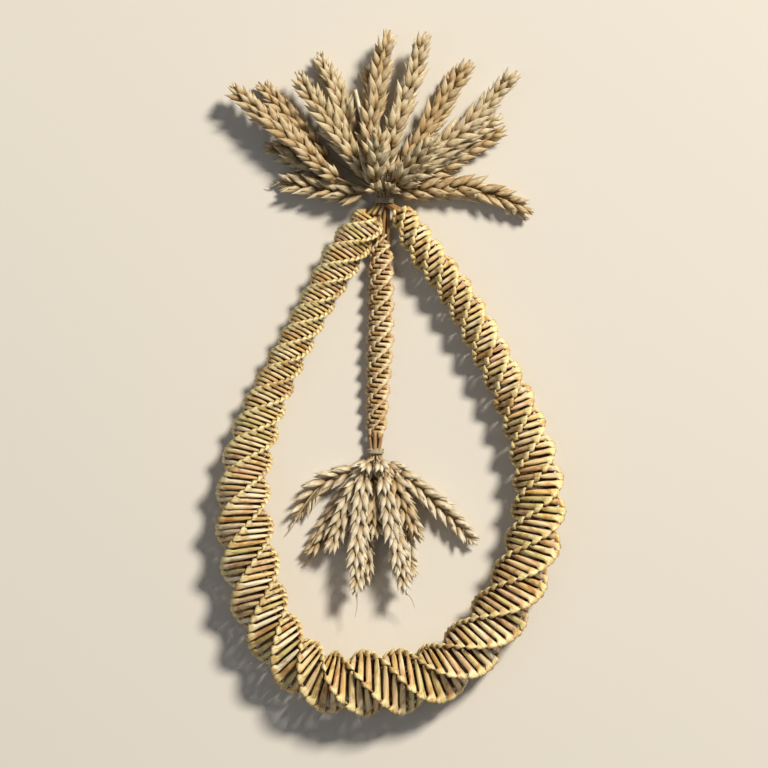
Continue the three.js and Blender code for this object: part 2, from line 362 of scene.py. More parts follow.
square_rings = np.array([[[0, 0, z], [1, 0, z], [1, 1, z], [0, 1, z]] for z in range(3)], float)
print("quads of a square tube with three rings:", len(tube_faces(square_rings)[0]))

# %% Mesh from tubes
FLOOR_GAP = 0.0001  # metres; what lies on the floor is pressed flat just above it


def make_piece(name, tubes, material):
    """One mesh object of closed tubes, with its tones, places, painted shades and map."""
    points, faces, maps, base = [], [], [], 0
    for item in tubes:
        rings, run = item["rings"], item["run"]
        count, sides = rings.shape[:2]
        quads, caps, outward = tube_faces(rings)
        u0, u1 = np.repeat(run[:-1], sides), np.repeat(run[1:], sides)
        v0 = np.tile(np.arange(sides) / sides, count - 1)
        v1 = v0 + 1 / sides
        pairs = ((u0, v0), (u0, v1), (u1, v1), (u1, v0))
        corners = np.stack([np.stack(pair, -1) for pair in pairs], 1)
        maps.append((corners if outward else corners[:, ::-1]).reshape(-1, 2))
        maps.append(np.repeat([[run[0], 0.5], [run[-1], 0.5]], sides, axis=0))
        faces.extend((quads + base).tolist())
        faces.extend([[base + k for k in cap] for cap in caps])
        points.append(rings.reshape(-1, 3))
        base += count * sides
    mesh = bpy.data.meshes.new(name)
    placed = to_frame(np.concatenate(points))
    placed[:, 2] = np.maximum(placed[:, 2], FLOOR_GAP)
    mesh.from_pydata(placed.tolist(), [], faces)
    for key in ("tone", "place", "shade"):
        values = np.concatenate([item[key].ravel() for item in tubes])
        mesh.attributes.new(key, "FLOAT", "POINT").data.foreach_set("value", values.astype(np.float32))
    along = np.concatenate(maps).astype(np.float32)
    mesh.uv_layers.new(name="along").data.foreach_set("uv", along.ravel())
    mesh.shade_smooth()
    mesh.materials.append(material)
    piece = bpy.data.objects.new(name, mesh)
    bpy.context.scene.collection.objects.link(piece)
    return piece


# %% [markdown]
# ## Colours and nodes
# Each finish is worked out by nodes, from real sizes in millimetres. One function turns an sRGB hex
# colour into the linear values that a shader takes, and one adds a node with its settings and
# links. The others put nodes together into the streaks, ramps and mixes that the finishes share.

# %% Colours and nodes
def linear(hex_colour):
    """An sRGB hex colour as the linear values that a shader takes."""
    parts = [int(hex_colour[k:k + 2], 16) / 255 for k in (0, 2, 4)]
    return [c / 12.92 if c <= 0.04045 else ((c + 0.055) / 1.055) ** 2.4 for c in parts] + [1.0]


def add(tree, kind, inputs=(), **settings):
    """A node with its settings. Inputs are (socket, value or another node's output) pairs."""
    node = tree.nodes.new(kind)
    for name, value in settings.items():
        setattr(node, name, value)
    for socket, value in inputs:
        if isinstance(value, bpy.types.NodeSocket):
            tree.links.new(value, node.inputs[socket])
        else:
            node.inputs[socket].default_value = value
    return node


def new_material(name, **shader):
    """A material with values set on its shader. A socket's spaces are underscores here."""
    material = bpy.data.materials.new(name)
    material.use_nodes = True
    surface = material.node_tree.nodes["Principled BSDF"]
    for socket, value in shader.items():
        surface.inputs[socket.replace("_", " ")].default_value = value
    return material, material.node_tree, surface


def ramp(tree, factor, stops):
    """A colour ramp through (position, hex colour) stops."""
    node = add(tree, "ShaderNodeValToRGB", [("Fac", factor)])
    elements = node.color_ramp.elements
    while len(elements) < len(stops):
        elements.new(0.5)
    for element, (position, colour) in zip(elements, stops):
        element.position, element.color = position, linear(colour)
    return node.outputs["Color"]


# %% Streaks, mixes and relief
RELIEF = 0.6  # strength of every finish's relief
CLEAR = "ffffff"  # multiplied in, it leaves a colour as it is


def streaks(tree, width_mm, girth_mm, length_mm, detail=3.0):
    """Noise drawn out along a tube, on its map, from the streaks' width and the tube's girth."""
    along = add(tree, "ShaderNodeUVMap", uv_map="along").outputs["UV"]
    scale = (1 / length_mm, girth_mm / width_mm, 1)
    drawn = add(tree, "ShaderNodeMapping", [("Vector", along), ("Scale", scale)]).outputs["Vector"]
    noise = add(tree, "ShaderNodeTexNoise", [("Vector", drawn), ("Scale", 1.0), ("Detail", detail)])
    return noise.outputs["Fac"]


def mixed(tree, share, first, second, blend="MIX"):
    """Two colours mixed by share."""
    pairs = [(0, share), (6, first), (7, second)]
    return add(tree, "ShaderNodeMix", pairs, data_type="RGBA", blend_type=blend).outputs[2]


def attribute(tree, name):
    """A value that make_piece stored on the points."""
    return add(tree, "ShaderNodeAttribute", attribute_name=name).outputs["Fac"]


def finish_surface(tree, surface, colour, relief, rough, depth_mm):
    """Colour, roughness and relief of a shader. Rough is the range from hollows to crests."""
    tree.links.new(colour, surface.inputs["Base Color"])
    range_pairs = [("Value", relief), ("To Min", rough[0]), ("To Max", rough[1])]
    roughness = add(tree, "ShaderNodeMapRange", range_pairs).outputs["Result"]
    tree.links.new(roughness, surface.inputs["Roughness"])
    bump_pairs = [("Height", relief), ("Strength", RELIEF), ("Distance", depth_mm * MM)]
    bump = add(tree, "ShaderNodeBump", bump_pairs).outputs["Normal"]
    tree.links.new(bump, surface.inputs["Normal"])


# %% [markdown]
# ## Wheat straw
# Straw is the dry stem of wheat. Its skin is waxy and hard, so it shines like satin, and fine
# fibres run along it. Its colour goes from green through gold to a pinkish brown, from stem to
# stem, with brown stains here and there. Where it is pressed flat it turns pale. Deep in the plait,
# and along the edge of a foot that the next one covers, a brown is multiplied in as painted shade,
# where the plait's own shadows fall. Noise on the tube's own map gives fibres that follow every
# bend, where a pattern in space would cut across them.

# %% Wheat straw
FIBRE_MM = 0.28  # width of a fibre bundle in the straw's skin, drawn as coarse as it needs to show
FIBRE_LONG_MM = 9.0  # how far a fibre bundle runs along the straw
STAIN_MM = 5.0
STAIN_LONG_MM = 6.0
STRAW_RELIEF_MM = 0.12
STRAW_ROUGH = (0.5, 0.34)  # satin: the crests of the fibres are the glossiest
PRESSED_PALE = 0.75  # how much of the fold's colour a pressed straw takes


def wheat_straw(name, stems, fold_hex):
    """Plaited straw: tone picks the stem's colour, place is 1 where it is pressed flat, and the painted
    shade is 1 deep in the plait, where brown painted shade stands in for its shadow."""
    material, tree, surface = new_material(name, IOR=1.5)
    girth = 2 * math.pi * STRAW_HALF
    fibre = streaks(tree, FIBRE_MM, girth, FIBRE_LONG_MM)
    stain = streaks(tree, STAIN_MM, girth, STAIN_LONG_MM)
    share_pairs = [(0, attribute(tree, "place")), (1, PRESSED_PALE)]
    share = add(tree, "ShaderNodeMath", share_pairs, operation="MULTIPLY").outputs["Value"]
    colour = mixed(tree, share, ramp(tree, attribute(tree, "tone"), stems), linear(fold_hex))
    fibre_colour = ramp(tree, fibre, [(0.32, "b49c7c"), (0.55, CLEAR)])
    colour = mixed(tree, 0.8, colour, fibre_colour, "MULTIPLY")
    stain_colour = ramp(tree, stain, [(0.36, "c8a06a"), (0.5, CLEAR)])
    colour = mixed(tree, 0.7, colour, stain_colour, "MULTIPLY")
    # painted shade: brown multiplied into the straw where it lies deep in the plait or under the next foot,
    # standing in for the shadow there
    painted_hollow_shade = ramp(tree, attribute(tree, "shade"), [(0.0, CLEAR), (0.5, "a07c4c"), (1.0, "4a3010")])
    colour = mixed(tree, 0.9, colour, painted_hollow_shade, "MULTIPLY")
    finish_surface(tree, surface, colour, fibre, STRAW_ROUGH, STRAW_RELIEF_MM)
    return material


STEMS = [(0.0, "d4c98a"), (0.2, "ead092"), (0.4, "f8efd2"),
         (0.6, "e6c27c"), (0.8, "dcbc94"), (1.0, "f2e2b0")]
DARK_STEMS = [(0.0, "c0ab76"), (0.3, "d2b27c"), (0.6, "e6d2aa"), (0.8, "c9a47a"), (1.0, "dcc092")]
loop_straw = wheat_straw("wheat_straw_golden", STEMS, "f8eaac")
pendant_straw = wheat_straw("wheat_straw_brown", DARK_STEMS, "f0deb2")
print("nodes in the loop's straw:", len(loop_straw.node_tree.nodes))

# %% [markdown]
# ## Wheat husks
# The husks of an ear are thin dry leaves with veins from base to tip. They are dull and greyer than
# the stem, so an ear looks chalky beside the plait, and darker and browner at the base, partly their
# own colour and partly painted shade where they crowd together. The same drawn-out noise makes the
# veins, and a ramp from base to tip, painted shade and all, makes each husk stand out from the next.

# %% Wheat husk
VEIN_MM = 0.35  # spacing of the veins on a husk
VEIN_LONG_MM = 12.0
MOTTLE_MM = 2.5
MOTTLE_LONG_MM = 3.0
HUSK_GIRTH_MM = 9.0
HUSK_RELIEF_MM = 0.15
HUSK_ROUGH = (0.68, 0.5)  # dull, with a faint sheen on the veins
# dark base: partly the husk's own colour, partly painted shade where the husks crowd together at their bases
HUSK_TONE_AND_BASE_SHADE = [(0.0, "86683c"), (0.3, "d4c3a0"), (0.6, "fdfbf4"), (1.0, "ece8d8")]


def wheat_husk(name, tones):
    """Husks of an ear: tone picks the colour, place runs from the base of a husk to its tip."""
    material, tree, surface = new_material(name, IOR=1.45)
    veins = streaks(tree, VEIN_MM, HUSK_GIRTH_MM, VEIN_LONG_MM, 2.0)
    mottle = streaks(tree, MOTTLE_MM, HUSK_GIRTH_MM, MOTTLE_LONG_MM)
    colour = ramp(tree, attribute(tree, "tone"), tones)
    # painted shade at the husks' bases, mixed with their own colour along them
    tone_and_base_shade = ramp(tree, attribute(tree, "place"), HUSK_TONE_AND_BASE_SHADE)
    colour = mixed(tree, 0.85, colour, tone_and_base_shade, "MULTIPLY")
    vein_colour = ramp(tree, veins, [(0.35, "bca586"), (0.55, CLEAR)])
    colour = mixed(tree, 0.7, colour, vein_colour, "MULTIPLY")
    mottle_colour = ramp(tree, mottle, [(0.35, "d2b084"), (0.5, CLEAR)])
    colour = mixed(tree, 0.5, colour, mottle_colour, "MULTIPLY")
    finish_surface(tree, surface, colour, veins, HUSK_ROUGH, HUSK_RELIEF_MM)
    return material


fan_husk = wheat_husk("wheat_husk_beige", [(0.0, "d2c4a0"), (0.5, "e6dfc8"), (1.0, "cdb78e")])
spray_husk = wheat_husk("wheat_husk_cream", [(0.0, "ccbf9e"), (0.5, "f2efe2"), (1.0, "c8b48e")])
print("nodes in the fan's husks:", len(fan_husk.node_tree.nodes))

# %% [markdown]
# ## Linen thread
# The ties are linen thread, spun from flax and twisted from two plies. Its fibres are dull and
# greyish, so it has hardly any gloss and looks rougher than the straw. The twist is in the mesh of
# the ties, so the finish only adds the fibres.

# %% Linen thread
FLAX_MM = 0.12  # width of a fibre
FLAX_LONG_MM = 1.0
THREAD_GIRTH_MM = 2.2
THREAD_RELIEF_MM = 0.08
THREAD_ROUGH = (0.95, 0.8)


def linen_thread(name, colour_hex):
    """Linen thread: dull fibres that shade a little along the twist."""
    material, tree, surface = new_material(name, IOR=1.5)
    fibres = streaks(tree, FLAX_MM, THREAD_GIRTH_MM, FLAX_LONG_MM)
    colour = ramp(tree, fibres, [(0.3, "5e5543"), (0.6, colour_hex)])
    finish_surface(tree, surface, colour, fibres, THREAD_ROUGH, THREAD_RELIEF_MM)
    return material


thread_grey = linen_thread("linen_thread_grey", "cdc3ab")
print("materials:", [m.name for m in bpy.data.materials])

# %% [markdown]
# ## A whole plait
# The five straws take turns. Move number m lays a straw on side m of the plait, a quarter of the
# spacing below the last one, and the same straw comes round again five moves later, one side on.
# Every fold turns a straw over, so the cross-section turns half round with each move, and the tube
# doesn't twist on itself.

# %% Where a straw's rings lie
STRAWS = 5  # working straws of the plait
SIDES = 4
STRAW_SHARE = 0.365  # half a straw's width, as a part of the straws' spacing
FOOT_HALF = 1.1  # half a pressed foot's width, where the straws touch
FOOT_SHARE = 0.37  # how much wider it gets, as a part of the spacing
PAINTED_SHADE_FROM = 0.85  # how deep a straw's skin starts to take painted shade, in half widths
PAINTED_SHADE_OVER = 0.9  # over which the painted shade grows as brown as the shadowed inside of the plait
PAINTED_CONTACT_SHADOW = 0.5  # painted contact shadow: how dark a foot is painted along the edge that the next one covers
OPEN_FOOT = 0.42  # a foot of this part of the spacing doesn't reach its neighbour
COVERED_RISE = 1.8
COVERED_FROM = 0.6


def drawn_rings(rows, half, foot, spacing, lean, turned):
    """How far across, up and out each point of a straw's rings lies, and how much painted shade it takes."""
    across, up, height, angle, wide, thick, fold, flat, tilt = rows.T[1:, :, None]
    wide = wide * np.cos(ROUND) * turned
    thick = thick * np.sin(ROUND) * turned
    angle = np.radians(angle)
    right = wide * np.cos(angle) + fold * thick * np.sin(angle)
    ahead = wide * np.sin(angle) - fold * thick * np.cos(angle)
    ring_across = across + right - ahead * math.tan(lean)
    ring_height = height + (1 - fold) * thick - tilt * (foot / spacing - OPEN_FOOT) * ahead
    # painted shade for points deep in the plait, where the inside would lie in shadow
    painted_hollow_shade = ease((-ring_height - PAINTED_SHADE_FROM * half) / (PAINTED_SHADE_OVER * half))
    # painted contact shadow along the edge of a foot that the next foot covers
    painted_contact_shadow = flat * PAINTED_CONTACT_SHADOW * ease(COVERED_RISE * ahead / foot - COVERED_FROM)
    return ring_across, up + ahead, ring_height, np.maximum(painted_hollow_shade, painted_contact_shadow)


one_fold = straw_stations(14, 3.5, 0.88, 1.3, 1.9)
print("highest point of a fold, mm:", drawn_rings(one_fold, 1.3, 1.9, 3, 0.88, 1)[2].max().round(2))

# %% Lay the straws of a plait
WIDTH_RANGE = (0.92, 1.06)  # straws differ in width by this factor
FOOT_RANGE = (0.92, 1.08)
LEVEL_SPREAD = 0.035  # how unevenly straws lie, as a part of their spacing
NEW_STRAW_ODDS = 0.4  # how often a new straw with its own colour is pushed in
TONE_SPREAD = 0.06
FLOOR_WIDER = 0.5  # the straws next to the floor are pressed this much wider
BELOW_FROM = 0.35  # a side starts to count as next to the floor at this sine of its direction
BELOW_OVER = 0.9


def side_below(body, move, level):
    """How far the middle of a side faces the floor, from 0 to 1."""
    angle = -at_length(body, "twist", level) - (move + 0.5) * math.pi / 2
    return float(ease((BELOW_FROM - math.sin(angle)) / BELOW_OVER))


def plait_straws(body, seed, low_end, high_end):
    """Five tubes, one for each working straw, from the high end of the plait to its low end."""
    random = np.random.default_rng(seed)
    levels = [body["length"][-1] - high_end]
    while levels[-1] > low_end:
        levels.append(levels[-1] - at_length(body, "spacing", levels[-1]) / SIDES)
    straws = [{"rings": [], "tone": [], "place": [], "shade": []} for _ in range(STRAWS)]
    tones = random.uniform(0, 1, STRAWS)
    for move in range(STRAWS, len(levels)):
        level, straw = levels[move], straws[move % STRAWS]
        spacing, lean = at_length(body, "spacing", level), at_length(body, "lean", level)
        side_length = math.sqrt(2) * at_length(body, "radius", level)
        below = side_below(body, move, level)
        half = STRAW_SHARE * spacing * random.uniform(*WIDTH_RANGE) * (1 + FLOOR_WIDER * below)
        foot = (FOOT_HALF + FOOT_SHARE * spacing) * random.uniform(*FOOT_RANGE)
        climb = levels[move - STRAWS] - level
        rows = straw_stations(side_length, climb, lean, half, foot)
        turned = (-1) ** (move // STRAWS)
        across, up, height, shade = drawn_rings(rows, half, foot, spacing, lean, turned)
        up = up + random.normal(0, LEVEL_SPREAD) * spacing
        ridge = np.broadcast_to(move + rows[:, :1], up.shape)
        straw["rings"].append(roll_up(body, ridge, across, level + up, height))
        if random.uniform() < NEW_STRAW_ODDS:
            tones[move % STRAWS] = random.uniform()
        tone = np.clip(tones[move % STRAWS] + random.normal(0, TONE_SPREAD), 0, 1)
        straw["tone"].append(np.full(len(rows), tone))
        straw["place"].append(rows[:, FLAT])
        straw["shade"].append(shade)
    keys = ("rings", "tone", "place", "shade")
    return [tube(*(np.concatenate(straw[key]) for key in keys)) for straw in straws], len(levels)


def number(name, index):
    """A piece's name with its number, from 01."""
    return f"{name}_{index + 1:02d}"


# %% [markdown]
# ## Where a plait starts and ends
# At both ends a plait isn't worked: its straws run side by side in a narrow bundle, into the tie.
# A round tube along a line is enough for such a length, so each plait also holds one for each
# straw at each end. The five pieces of the loop are its five straws, ends and all.

# %% Straw along a line
UPRIGHT = 0.97  # a line this steep is guided by x and not by the way up


def bend_tube(points, half, sides=RING, steps=24):
    """Rings of a round tube through points in millimetres. half may be a function of the place."""
    places, centre, length, tangent = along_line(points)
    wanted = np.linspace(0, length[-1], steps)
    middle = np.stack([np.interp(wanted, length, centre[:, k]) for k in range(3)], -1)
    way = unit(np.stack([np.interp(wanted, length, tangent[:, k]) for k in range(3)], -1))
    guide = UP if abs(way[:, 2]).max() < UPRIGHT else np.array([1.0, 0, 0])
    side = unit(np.cross(way, guide))
    top = np.cross(side, way)
    angle = (np.arange(sides) * 2 * math.pi / sides)[None, :, None]
    sizes = [half(k / (steps - 1)) if callable(half) else half for k in range(steps)]
    ring = side[:, None] * np.cos(angle) + top[:, None] * np.sin(angle)
    return middle[:, None] + np.array(sizes)[:, None, None] * ring


# %% A bundle of straws
GATHERED_HALF = 0.9  # half the width of a straw that is gathered into a tie
GATHERED_PLACE = 0.2  # a little pressed
GATHERED_SHADE = 0.35  # and in the shade of the others
BUNDLE_TURN = 0.4  # where the first straw stands in the bundle, in radians
BUNDLE_LOW = 0.8  # a bundle is this much lower than wide


def bundle(start, end, start_spread, end_spread, seed):
    """Straws side by side from one place to another, closer together or further apart at the end."""
    random = np.random.default_rng(seed)
    tubes = []
    for k in range(STRAWS):
        angle = 2 * math.pi * k / STRAWS + BUNDLE_TURN
        away = np.array([math.cos(angle), 0, BUNDLE_LOW * math.sin(angle)])
        points = [np.array(start) + away * start_spread]
        points.append((np.array(start) + end) / 2 + away * (start_spread + end_spread) / 2)
        points.append(np.array(end) + away * end_spread)
        rings = bend_tube(points, GATHERED_HALF, steps=8)
        tubes.append(tube(rings, random.uniform(), GATHERED_PLACE, GATHERED_SHADE))
    return tubes


right_end = bundle([8.6, -6, 9.6], [2.2, -1.9, 8.6], 2.6, 1.4, 21)
left_end = bundle([-5.4, -7.5, 9.6], [-1.6, -1.9, 8.8], 3.2, 1.5, 22)
neck = bundle([0.9, 0.5, 5.9], [-0.7, -24, 3.6], 1.4, 3.0, 3)
low_end = bundle([-4.25, -116, 4.4], [-4.3, -127, 4.6], 3.4, 1.7, 4)
print("gathered straws:", sum(len(straws) for straws in (right_end, left_end, neck, low_end)))

# %% The loop
loop_tubes, loop_moves = plait_straws(loop_body, seed=5, low_end=1.0, high_end=1.0)
for index, item in enumerate(loop_tubes):
    tubes = [item, right_end[index], left_end[index]]
    piece = make_piece(number("drop_plait_straw", index), tubes, loop_straw)
    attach(piece, "root")
    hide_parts("drop_plait")
print("moves in the loop:", loop_moves)

# %% The hanging plait
pendant_tubes, pendant_moves = plait_straws(pendant_body, seed=11, low_end=12.0, high_end=4.0)
pendant = make_piece("pendant_plait_straws", pendant_tubes + neck + low_end, pendant_straw)
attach(pendant, "root")
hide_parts("pendant_plait")
print("moves in the hanging plait:", pendant_moves)

# %% [markdown]
# ## An ear of wheat
# An ear is a stem with spikelets in two rows, left and right in turn. A spikelet has two husks
# outside, the glumes, and three fuller ones inside, the lemmas, fanned out across the row. So an
# ear looks like a braid of fat grains from one side, and like a row of spread fans from the side
# next to it. Each husk could be a leaf folded in two, but a closed tube shows the same: narrow at
# its base, full in the middle, keeled along its back and drawn out to a beak.

# %% One husk
HUSK_PLACES = np.array([0, 0.07, 0.2, 0.38, 0.56, 0.72, 0.84, 0.93, 1.0])
HUSK_SIZES = np.array([0.3, 0.66, 0.96, 1.0, 0.82, 0.52, 0.27, 0.12, 0.03])
HUSK_SIDES = 7
KEEL = 0.22  # how far the keel stands out from the back of a husk
KEEL_POWER = 6  # the higher, the narrower the keel


def husk(base, way, out, scale, kind, tone):
    """A husk from its base along way. out is the way that its back faces."""
    length, half_width, half_depth, curl = (scale * size for size in kind["size"])
    out = unit(out - way * np.dot(out, way))
    across = np.cross(way, out)
    angle = (np.arange(HUSK_SIDES) * 2 * math.pi / HUSK_SIDES)[:, None]
    keel = 1 + KEEL * np.maximum(np.cos(angle), 0) ** KEEL_POWER
    bent = curl * (HUSK_PLACES**2.2 - 0.6 * HUSK_PLACES)[:, None] * out
    middle = base + HUSK_PLACES[:, None] * length * way + bent
    ring = out * (half_depth * keel * np.cos(angle)) + across * (half_width * np.sin(angle))
    rings = middle[:, None] + HUSK_SIZES[:, None, None] * ring
    return tube(rings, tone, HUSK_PLACES)


# %% One spikelet
# Sizes are a husk's length, half width, half depth and curl, in millimetres. Lean, start and back
# are across the row, out from the stem and, for start, up the stem.
GLUME = {"lean": (0.58, 0.30), "loose": 0.09, "start": (0.9, 0.5, 0.0), "back": (1, 0.6),
         "size": (7.6, 1.5, 0.95, 0.9)}
LEMMA = {"lean": (0.38, 0.36), "loose": 0.08, "start": (0.85, 0.9, 1.4), "back": (0.6, 1),
         "size": (9.8, 1.65, 1.55, 0.7)}
MIDDLE_LEMMA = {"lean": (0, 0.26), "start": (0, 1.3, 3.2), "size": (8.4, 1.45, 1.35, 0.4)}
OUT_LOOSE = 0.05  # how much husks differ in how far they lean out
HUSK_TONES = 0.1  # and in colour


def spikelet(base, way, out, scale, random, tone):
    """Two glumes and three lemmas, fanned across the row."""
    fan = np.cross(way, out)
    husks = []
    for hand in (-1, 1):
        for kind in (GLUME, LEMMA):
            sideways = kind["lean"][0] + random.normal(0, kind["loose"])
            outwards = kind["lean"][1] + random.normal(0, OUT_LOOSE)
            lean = unit(way + hand * fan * sideways + out * outwards)
            right, away, up = kind["start"]
            start = base + scale * (hand * right * fan + away * out + up * way)
            back = unit(out * kind["back"][1] + hand * fan * kind["back"][0])
            husks.append(husk(start, lean, back, scale, kind, tone + random.normal(0, HUSK_TONES)))
    lean = unit(way + fan * random.normal(0, OUT_LOOSE) + out * MIDDLE_LEMMA["lean"][1])
    right, away, up = MIDDLE_LEMMA["start"]
    start = base + scale * (away * out + up * way)
    husks.append(husk(start, lean, out, scale, MIDDLE_LEMMA, tone + random.normal(0, HUSK_TONES)))
    return husks


one_spikelet = spikelet(np.zeros(3), UP, np.array([1.0, 0, 0]), 1.0, np.random.default_rng(0), 0.5)
print("husks in a spikelet:", len(one_spikelet))

# %% [markdown]
# ## Stalks through a tie
# The stalks stand close together in a tie like pencils in a ring. One is in the middle, six are
# round it and twelve round those, so a stalk's cell is its ring's number and its direction in
# degrees. Beyond the tie a stalk runs straight for a little and then bends to its ear. A tie is
# given by its middle, the radius inside its thread, the thread's width and turns, and the radius
# and spacing of the stalks in it.

# %% A stalk's line
LEAD = 2.1  # how far stalks run straight beyond a tie
GAP = 0.3  # and on each side of its thread
TOP_TIE = {"x": 0, "y": 0, "z": 9, "inner": 4.2, "thread": 0.8, "turns": 3,
           "stalk": 0.75, "spacing": 1.6}
LOW_TIE = {"x": -4.3, "y": -125.7, "z": 4.7, "inner": 3.65, "thread": 0.7, "turns": 3,
           "stalk": 0.7, "spacing": 1.4}


def stalk_points(tie, ear, direction):
    """The line of a stalk through the tie, to the ear's foot, its middle and its tip. Direction is
    1 for ears above their tie and -1 for ears below it."""
    ring, degrees = ear["cell"]
    reach = tie["spacing"] * (math.sqrt(3) if ring == 2 and degrees % 60 else ring)
    cell = np.array([tie["x"] + reach * math.cos(math.radians(degrees)), tie["y"],
                     tie["z"] + reach * math.sin(math.radians(degrees))])
    clear = tie["turns"] * tie["thread"] / 2 + GAP
    ahead = np.array([0, direction, 0.0])
    foot, tip = (np.array([tie["x"] + x, tie["y"] + y, z]) for x, y, z in (ear["foot"], ear["tip"]))
    middle = (foot + tip) / 2 + unit(np.cross(UP, tip - foot)) * ear["bow"]
    return [cell - ahead * clear, cell + ahead * clear, cell + ahead * (clear + LEAD), foot, middle, tip]


print("width of the stalks in the top tie, mm:", 4 * TOP_TIE["spacing"] + 2 * TOP_TIE["stalk"])

# %% [markdown]
# ## A whole ear
# Spikelets sit on the upper part of the stalk's line, in two rows. They are biggest a little below
# the middle of the ear and small at its tip, where a last one closes it. An ear may be rolled about
# its stem, to show its rows from the side, and may end in an awn, which is a bristle.

# %% A whole ear
SPIKELET_STEP = 3.7  # from one spikelet to the next, on the other row
EAR_START = 0.5  # the place on a stalk's line where the spikelets start, if the ear has no other
BEYOND_LAST = 4.5  # of the ear's length, in millimetres, what the tip needs
LAST_FROM_TIP = 10.0  # where the last full spikelet stands
TIP_FROM_TIP = 6.5  # where the small one that closes the ear stands
ROLL_LOOSE = 12  # degrees by which spikelets stand askew
SMALLEST = 0.6  # size of a spikelet at the very foot or tip, as a part of full size
SWELL_START = 0.14  # the ear swells and thins like this part of half a wave
SWELL_PART = 0.76
SIZE_RANGE = (0.94, 1.06)
TAPER = 0.45  # how much thinner a stalk is at its tip
STALK_PLACE = 0.25  # stalks take the colour that a husk has here, from its base
AWN_PLACE = 0.8
AWN_FOOT = 2  # how far below the ear's tip an awn starts
AWN_DROP = 3  # how much lower it ends
AWN_BOW = 0.8


def awn(line_end, way, tie, ear, tone):
    """A bristle that bends from the ear's tip to its own end."""
    start = line_end - way * AWN_FOOT
    x, y = ear["awn"]
    end = np.array([tie["x"] + x, tie["y"] + y, max(ear["tip"][2] - AWN_DROP, 1.0)])
    middle = (start + end) / 2 + unit(np.cross(UP, end - start)) * AWN_BOW
    rings = bend_tube([start, middle, end], lambda t: 0.42 * (1 - t) + 0.1, sides=6, steps=12)
    return tube(rings, tone, AWN_PLACE)


def wheat_ear(name, tie, ear, direction, seed, material, plump):
    """An ear on its stalk, as one piece."""
    random = np.random.default_rng(seed)
    points = stalk_points(tie, ear, direction)
    places, centre, length, tangent = along_line(points)
    foot = length[np.searchsorted(places, ear.get("first", EAR_START))]
    tone = ear.get("tone", random.uniform(0.1, 0.9))
    stalk = bend_tube(points, lambda t: tie["stalk"] * (1 - TAPER * t), sides=8, steps=26)
    tubes = [tube(stalk, tone, STALK_PLACE)]
    ear_length = length[-1] - foot
    count = max(int((ear_length - BEYOND_LAST) / SPIKELET_STEP), 4)
    for k in range(count):
        part = k / (count - 1)
        spot = foot + (ear_length - LAST_FROM_TIP) * part
        base = np.array([np.interp(spot, length, centre[:, j]) for j in range(3)])
        way = unit(np.array([np.interp(spot, length, tangent[:, j]) for j in range(3)]))
        flat = unit(np.cross(way, UP))
        rise = np.cross(flat, way)
        roll = math.radians(ear.get("roll", 0) + random.normal(0, ROLL_LOOSE))
        out = (rise * math.cos(roll) + flat * math.sin(roll)) * (-1) ** k
        swell = math.sin(math.pi * (SWELL_START + part * SWELL_PART))
        scale = plump * (SMALLEST + (1 - SMALLEST) * swell) * random.uniform(*SIZE_RANGE)
        tubes += spikelet(base + out * 0.5, way, out, scale, random, tone)
    last = centre[-1] - tangent[-1] * TIP_FROM_TIP
    tubes += spikelet(last, tangent[-1], np.cross(tangent[-1], out), plump * 0.5, random, tone)
    if "awn" in ear:
        tubes.append(awn(centre[-1], tangent[-1], tie, ear, tone))
    piece = make_piece(name, tubes, material)
    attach(piece, "root")
    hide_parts(name)


# %% [markdown]
# ## The fan and the spray
# Each row of the two tables is one ear: its cell in the tie, its foot and its tip as x and y from
# the tie and height from the floor, and how far it bows to the left. "first" is where its spikelets
# start, "roll" turns it about its stem, "awn" is where its awn ends, and "tone" is its colour, for
# those that would otherwise get one by chance. The husks of the fan are fuller than the spray's.

# %% The fan
FAN_PLUMP = 1.24  # size of the husks
TOP_EARS = [
    {"cell": [2, 150], "foot": [-23.5, 11, 15], "tip": [-77, 57, 13], "bow": 0, "first": 0.6},
    {"cell": [2, 240], "foot": [-28, 21.5, 7], "tip": [-63, 59.5, 5], "bow": 0, "first": 0.6},
    {"cell": [2, 120], "foot": [-11, 15.5, 16], "tip": [-44.5, 64, 14], "bow": 0},
    {"cell": [1, 240], "foot": [-15.5, 23, 5.5], "tip": [-33.5, 74.5, 5], "bow": -2.5},
    {"cell": [0, 0], "foot": [-6.5, 28, 13.5], "tip": [3, 85, 14], "bow": 1.5},
    {"cell": [1, 60], "foot": [2, 24, 17], "tip": [21, 84, 16], "bow": 0},
    {"cell": [1, 300], "foot": [14, 25, 8], "tip": [43, 70.5, 7], "bow": 0},
    {"cell": [2, 30], "foot": [13, 14.5, 17], "tip": [66.5, 64.5, 17], "bow": -3},
    {"cell": [2, 330], "foot": [17.5, 11, 4.8], "tip": [60.5, 37.5, 4.5], "bow": 0},
    {"cell": [1, 0], "foot": [16.6, 13.6, 13.4], "tip": [58.5, 43.5, 10], "bow": 0},
    {"cell": [2, 0], "foot": [12, 4.6, 6.6], "tip": [75, -6, 5], "bow": 6, "roll": 82},
    {"cell": [2, 90], "foot": [-4.5, 6, 18], "tip": [-2.5, 34, 38], "bow": 0, "first": 0.58},
    {"cell": [2, 60], "foot": [3.5, 6, 18], "tip": [26.5, 29.5, 40], "bow": 0, "first": 0.58},
    {"cell": [2, 270], "foot": [-6.5, 33, 4.8], "tip": [-7.5, 69.5, 4.5], "bow": 0},
    {"cell": [2, 180], "foot": [-13, 3.4, 10.5], "tip": [-54.5, 9.5, 4.5], "bow": 0,
     "roll": 80, "awn": [-59.5, 7]},
    {"cell": [2, 210], "foot": [-20, 8.6, 4.6], "tip": [-60, 29.2, 4.5], "bow": 0,
     "roll": 30, "first": 0.6},
]
for index, ear in enumerate(TOP_EARS):
    wheat_ear(number("top_ear", index), TOP_TIE, ear, 1, 100 + index, fan_husk, FAN_PLUMP)
print("ears in the fan:", len(TOP_EARS))

